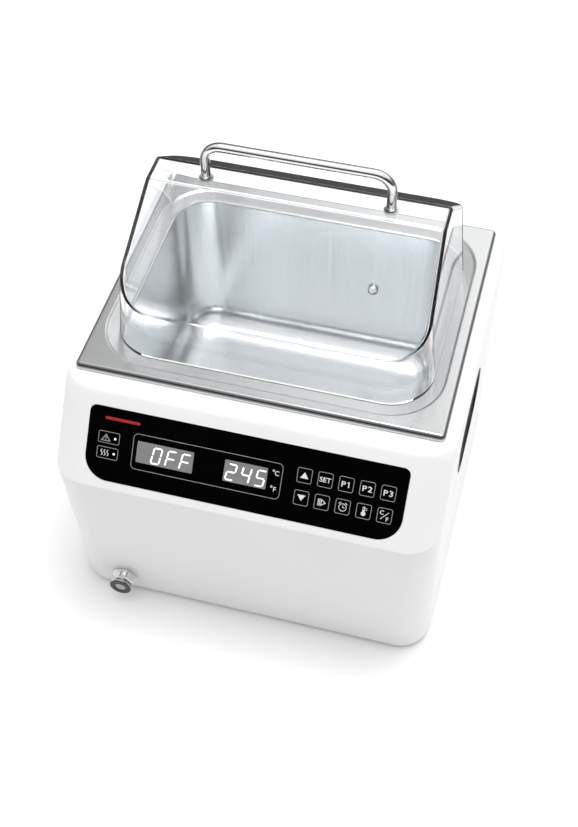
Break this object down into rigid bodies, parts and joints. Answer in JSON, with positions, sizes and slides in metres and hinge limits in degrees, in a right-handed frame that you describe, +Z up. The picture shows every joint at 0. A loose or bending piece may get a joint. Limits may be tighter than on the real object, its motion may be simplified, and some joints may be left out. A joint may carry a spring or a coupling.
{
  "type": "heated water bath",
  "caption": "Bench-top sous vide water bath: drawn steel tank in a white housing, clear gabled lid with a rod handle, sloped black control fascia, side grips and a front drain.",
  "frame": {"origin": "on the surface it stands on, under the centre of the bounding box", "axes": "+Z up, -Y towards the operator and the control fascia, +X to the operator's right"},
  "size_m": [0.3212, 0.3154, 0.3871],
  "materials": {
    "housing_white": "satin moulded",
    "tank_steel": "satin drawn",
    "lid_clear": "clear polished",
    "rod_chrome": "polished",
    "panel_black": "gloss film",
    "key_black": "gloss film",
    "display_grey": "backlit window",
    "led_white": "lit lens",
    "grip_black": "fine grained",
    "black_plastic": "moulded",
    "rubber_black": "moulded",
    "drain_metal": "nickel plated",
    "drain_core": "moulded",
    "board_green": "solder mask",
    "screw_steel": "plated",
    "aluminium_plate": "rolled",
    "foam_grey": "needled felt",
    "hose_clear": "silicone",
    "base_steel": "powder coat"
  },
  "bodies": {
    "base": {"housing_shell": "housing_white", "base_plate": "base_steel", "base_screws": "screw_steel", "rubber_feet": "rubber_black", "tank_pan": "tank_steel", "tank_gasket": "rubber_black", "tank_insulation": "foam_grey", "heater_plate": "aluminium_plate", "heater_nuts": "screw_steel", "overtemp_thermostat": "black_plastic", "temperature_probe": "tank_steel", "probe_nut": "screw_steel", "drain_stub": "drain_metal", "drain_stub_nut": "screw_steel", "drain_body": "drain_metal", "drain_nut": "screw_steel", "drain_hose": "hose_clear", "hose_clips": "screw_steel", "control_overlay": "panel_black", "display_windows": "display_grey", "indicator_leds": "led_white", "display_modules": "black_plastic", "control_pcb": "board_green", "tact_switches": "black_plastic", "board_standoffs": "aluminium_plate", "board_screws": "screw_steel", "power_board": "board_green", "power_components": "black_plastic", "board_spacers": "black_plastic", "power_inlet": "black_plastic", "inlet_pins": "screw_steel", "inlet_screws": "screw_steel", "switch_frame": "black_plastic", "side_grip_right": "grip_black", "side_grip_left": "grip_black"},
    "lid": {"lid_cover": "lid_clear", "lid_handle": "rod_chrome", "handle_ferrules": "rod_chrome", "handle_screws": "screw_steel", "handle_washers": "rubber_black"},
    "drain_latch": {"drain_latch": "drain_metal"},
    "drain_poppet": {"drain_poppet": "drain_core"},
    "power_rocker": {"power_rocker": "grip_black"},
    "key_up": {"key_up": "key_black"},
    "key_set": {"key_set": "key_black"},
    "key_p1": {"key_p1": "key_black"},
    "key_p2": {"key_p2": "key_black"},
    "key_p3": {"key_p3": "key_black"},
    "key_down": {"key_down": "key_black"},
    "key_start": {"key_start": "key_black"},
    "key_timer": {"key_timer": "key_black"},
    "key_probe": {"key_probe": "key_black"},
    "key_unit": {"key_unit": "key_black"}
  },
  "joints": [
    {"name": "lid_lift", "type": "slide", "parent": "base", "child": "lid", "axis": [0, 0, 1], "range_m": [0, 0.2]},
    {"name": "key_up_press", "type": "slide", "parent": "base", "child": "key_up", "axis": [0, 0.8049, -0.5934], "range_m": [0, 0.00045], "stiffness_N_per_m": 1500, "springref_m": -0.0002},
    {"name": "key_set_press", "type": "slide", "parent": "base", "child": "key_set", "axis": [0, 0.8049, -0.5934], "range_m": [0, 0.00045], "stiffness_N_per_m": 1500, "springref_m": -0.0002},
    {"name": "key_p1_press", "type": "slide", "parent": "base", "child": "key_p1", "axis": [0, 0.8049, -0.5934], "range_m": [0, 0.00045], "stiffness_N_per_m": 1500, "springref_m": -0.0002},
    {"name": "key_p2_press", "type": "slide", "parent": "base", "child": "key_p2", "axis": [0, 0.8049, -0.5934], "range_m": [0, 0.00045], "stiffness_N_per_m": 1500, "springref_m": -0.0002},
    {"name": "key_p3_press", "type": "slide", "parent": "base", "child": "key_p3", "axis": [0, 0.8049, -0.5934], "range_m": [0, 0.00045], "stiffness_N_per_m": 1500, "springref_m": -0.0002},
    {"name": "key_down_press", "type": "slide", "parent": "base", "child": "key_down", "axis": [0, 0.8049, -0.5934], "range_m": [0, 0.00045], "stiffness_N_per_m": 1500, "springref_m": -0.0002},
    {"name": "key_start_press", "type": "slide", "parent": "base", "child": "key_start", "axis": [0, 0.8049, -0.5934], "range_m": [0, 0.00045], "stiffness_N_per_m": 1500, "springref_m": -0.0002},
    {"name": "key_timer_press", "type": "slide", "parent": "base", "child": "key_timer", "axis": [0, 0.8049, -0.5934], "range_m": [0, 0.00045], "stiffness_N_per_m": 1500, "springref_m": -0.0002},
    {"name": "key_probe_press", "type": "slide", "parent": "base", "child": "key_probe", "axis": [0, 0.8049, -0.5934], "range_m": [0, 0.00045], "stiffness_N_per_m": 1500, "springref_m": -0.0002},
    {"name": "key_unit_press", "type": "slide", "parent": "base", "child": "key_unit", "axis": [0, 0.8049, -0.5934], "range_m": [0, 0.00045], "stiffness_N_per_m": 1500, "springref_m": -0.0002},
    {"name": "latch_press", "type": "slide", "parent": "base", "child": "drain_latch", "axis": [-0.6428, 0, -0.766], "range_m": [0, 0.0016], "stiffness_N_per_m": 800, "springref_m": -0.001},
    {"name": "poppet_push", "type": "slide", "parent": "base", "child": "drain_poppet", "axis": [0, 1, 0], "range_m": [0, 0.004], "stiffness_N_per_m": 400, "springref_m": -0.002},
    {"name": "rocker_tilt", "type": "hinge", "parent": "base", "child": "power_rocker", "pos_m": [0.108, 0.15065, 0.092], "axis": [0, 0, 1], "range_deg": [-18, 0]}
  ]
}
